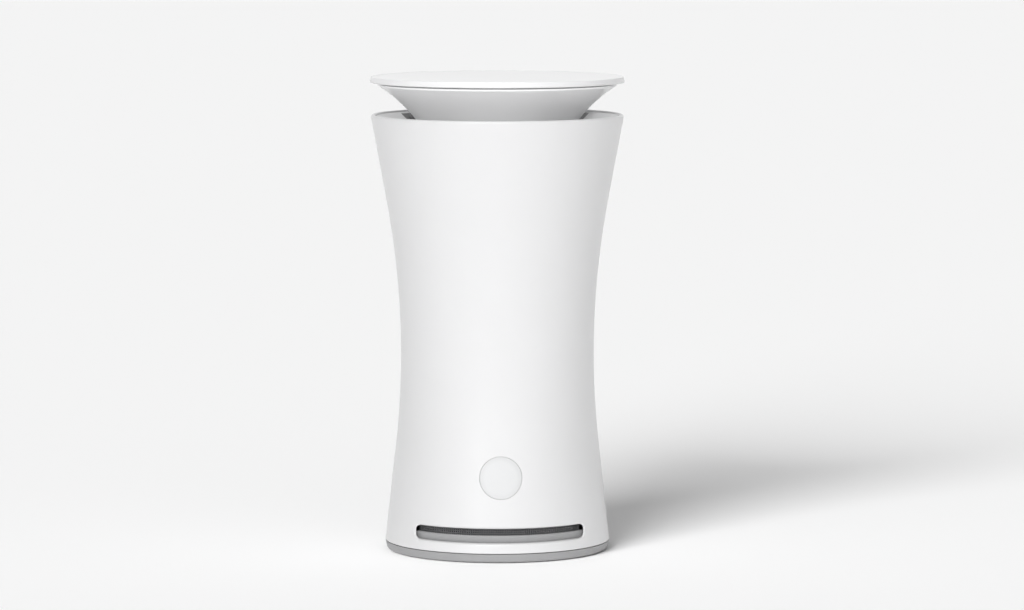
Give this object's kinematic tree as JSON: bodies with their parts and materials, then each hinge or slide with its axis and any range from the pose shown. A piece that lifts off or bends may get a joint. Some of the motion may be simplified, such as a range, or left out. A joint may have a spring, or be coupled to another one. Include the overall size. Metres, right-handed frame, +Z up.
{
  "type": "air purifier",
  "caption": "Table-top air purifier: hourglass housing with an intake slot at the foot, a round status window and a lift-off funnel cap over the outlet.",
  "frame": {"origin": "on the surface that the purifier stands on, at the centre of its round foot", "axes": "+Z up along the axis of the housing, -Y towards the front with the long slot and the window, +Y towards the power socket and the button"},
  "size_m": [0.085, 0.085, 0.1588],
  "materials": {
    "white_shell": "gloss white",
    "grey_base": "satin grey",
    "foot_rubber": "soft matte",
    "steel": "plated",
    "dark_mesh": "fine matte",
    "status_window": "frosted",
    "light_guide": "clear",
    "circuit_board": "solder mask",
    "ribbon": "film",
    "frame_plastic": "moulded",
    "black_plastic": "moulded",
    "button": "satin",
    "sensor_case": "moulded",
    "connector": "natural nylon",
    "copper": "enamelled wire",
    "magnet": "ferrite",
    "grey_seal": "soft matte",
    "filter_plastic": "moulded",
    "filter_paper": "pleated",
    "carbon": "open foam",
    "gasket_foam": "closed foam"
  },
  "bodies": {
    "housing": {"foot_ring": "foot_rubber", "base_cover": "grey_base", "base_screws": "steel", "body_shell": "white_shell", "intake_mesh": "dark_mesh", "status_window": "status_window", "light_guide": "light_guide", "led_board": "circuit_board", "led_ribbon": "ribbon", "inner_frame": "frame_plastic", "main_board": "circuit_board", "board_screws": "steel", "usb_socket": "steel", "power_switch": "black_plastic", "air_sensor": "sensor_case", "fan_casing": "black_plastic", "fan_screws": "steel", "fan_connector": "connector", "fan_stator": "copper", "fan_bearings": "steel", "outlet_collar": "white_shell", "outlet_mesh": "dark_mesh"},
    "fan": {"fan_rotor": "black_plastic", "fan_shaft": "steel", "fan_magnet": "magnet"},
    "button": {"power_button": "button", "switch_plunger": "black_plastic"},
    "cap": {"cap_cone": "white_shell", "neck_seal": "foot_rubber", "cap_seal": "grey_seal", "cap_dish": "white_shell", "cap_screw": "steel"},
    "cartridge": {"filter_top_cap": "filter_plastic", "filter_media": "filter_paper", "carbon_sleeve": "carbon", "filter_base_ring": "filter_plastic", "filter_gasket": "gasket_foam"}
  },
  "joints": [
    {"name": "fan_spin", "type": "hinge", "parent": "housing", "child": "fan", "pos_m": [0, 0, 0.026], "axis": [0, 0, 1], "continuous": true},
    {"name": "button_press", "type": "slide", "parent": "housing", "child": "button", "axis": [0, -1, 0], "range_m": [0, 0.0005], "stiffness_N_per_m": 2000},
    {"name": "cap_lift", "type": "slide", "parent": "housing", "child": "cap", "axis": [0, 0, 1], "range_m": [0, 0.11]},
    {"name": "filter_twist", "type": "hinge", "parent": "cap", "child": "cartridge", "pos_m": [0, 0, 0.08], "axis": [0, 0, 1], "range_deg": [0, 60]}
  ]
}
